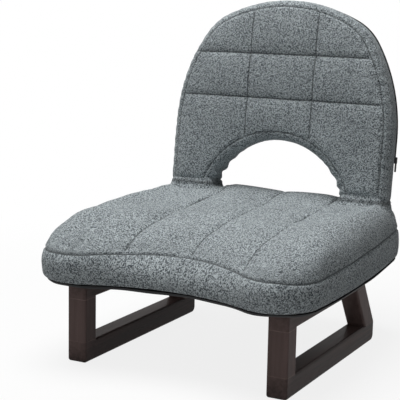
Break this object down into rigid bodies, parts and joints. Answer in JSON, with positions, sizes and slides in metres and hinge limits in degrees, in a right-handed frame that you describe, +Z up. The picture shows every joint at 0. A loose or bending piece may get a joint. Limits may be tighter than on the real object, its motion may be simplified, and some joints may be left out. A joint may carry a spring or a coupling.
{
  "type": "folding floor chair",
  "caption": "Low padded floor chair on wooden loop legs, with a lobed seat front and an arched, quilted backrest that folds forward onto the seat",
  "frame": {"origin": "on the floor, below the middle of the chair", "axes": "+X across the chair, to the right as seen from the front, -Y to the chair's front, +Z up"},
  "size_m": [0.4316, 0.4626, 0.5136],
  "materials": {
    "grey_fabric": "mottled grey weave",
    "dark_wood": "dark brown satin lacquer",
    "plain_wood": "unfinished plywood and beech",
    "black_cloth": "matt black cloth",
    "black_metal": "black coated steel",
    "steel": "bright zinc plate"
  },
  "bodies": {
    "base": {"seat_cushion": "grey_fabric", "left_hinge_sleeve": "grey_fabric", "right_hinge_sleeve": "grey_fabric", "left_top_rail": "dark_wood", "left_bottom_rail": "dark_wood", "left_front_post": "dark_wood", "left_rear_post": "dark_wood", "right_top_rail": "dark_wood", "right_bottom_rail": "dark_wood", "right_front_post": "dark_wood", "right_rear_post": "dark_wood", "leg_dowels": "plain_wood", "seat_board": "plain_wood", "underside_cloth": "black_cloth", "leg_bolts": "steel", "tee_nuts": "steel", "bracket_screws": "steel", "hinge_washers": "steel", "pivot_clips": "steel", "left_pivot_pin": "steel", "right_pivot_pin": "steel", "left_stop_pin": "steel", "right_stop_pin": "steel", "left_seat_bracket": "black_metal", "right_seat_bracket": "black_metal"},
    "backrest": {"back_cushion": "grey_fabric", "left_back_plate": "black_metal", "right_back_plate": "black_metal", "back_tube": "black_metal", "back_cross_bar": "black_metal", "zip_tape": "black_cloth", "zip_slider": "black_metal"}
  },
  "joints": [
    {"name": "backrest_fold", "type": "hinge", "parent": "base", "child": "backrest", "pos_m": [0, 0.158, 0.24077], "axis": [1, 0, 0], "range_deg": [0, 99], "deforming": ["left_hinge_sleeve", "right_hinge_sleeve"]}
  ]
}
